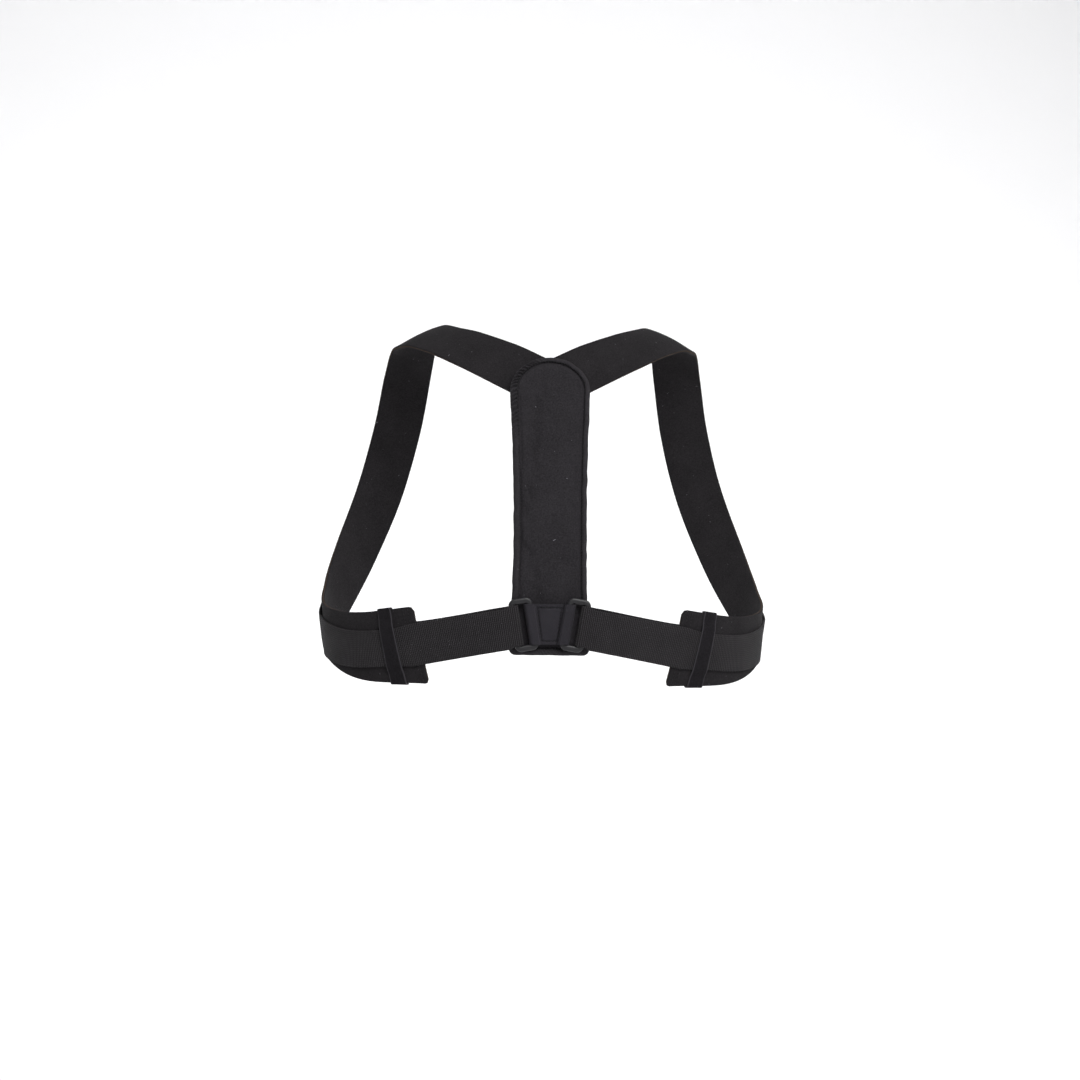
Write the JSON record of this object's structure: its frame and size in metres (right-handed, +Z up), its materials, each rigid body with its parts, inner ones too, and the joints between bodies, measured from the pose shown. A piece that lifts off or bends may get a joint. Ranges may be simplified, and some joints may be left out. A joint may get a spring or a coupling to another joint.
{
  "type": "posture corrector",
  "caption": "Upper back brace: a bound spine pad, two shoulder straps that loop under the arms, and elastic straps that fasten through rings at the pad's foot.",
  "frame": {"origin": "centre of the spine pad's inner face, where it lies on the wearer's back", "axes": "+X towards the wearer's right arm, +Y forwards through the wearer's chest, +Z up along the spine"},
  "size_m": [0.3732, 0.2006, 0.297],
  "materials": {
    "pad_fabric": "matte polyester face on foam, pressed smooth",
    "binding_tape": "folded knitted tape, matte, lock stitched",
    "strap_laminate": "brushed velour face laminated on foam, very matte",
    "elastic_knit": "ribbed woven elastic, matte with a faint sheen",
    "keeper_velour": "brushed velour tape, very matte",
    "hook_tape": "moulded hook tape, matte",
    "ring_plastic": "moulded acetal, satin",
    "webbing_weave": "close woven webbing, slight sheen"
  },
  "bodies": {
    "root": {"spine_pad": "pad_fabric", "pad_binding": "binding_tape", "shoulder_strap_right": "strap_laminate", "shoulder_strap_left": "strap_laminate", "elastic_strap_right": "elastic_knit", "elastic_strap_left": "elastic_knit", "keeper_loop_right": "keeper_velour", "keeper_loop_left": "keeper_velour", "hook_tab_right": "hook_tape", "hook_tab_left": "hook_tape", "ring_right": "ring_plastic", "ring_left": "ring_plastic", "ring_webbing": "webbing_weave"}
  },
  "joints": []
}
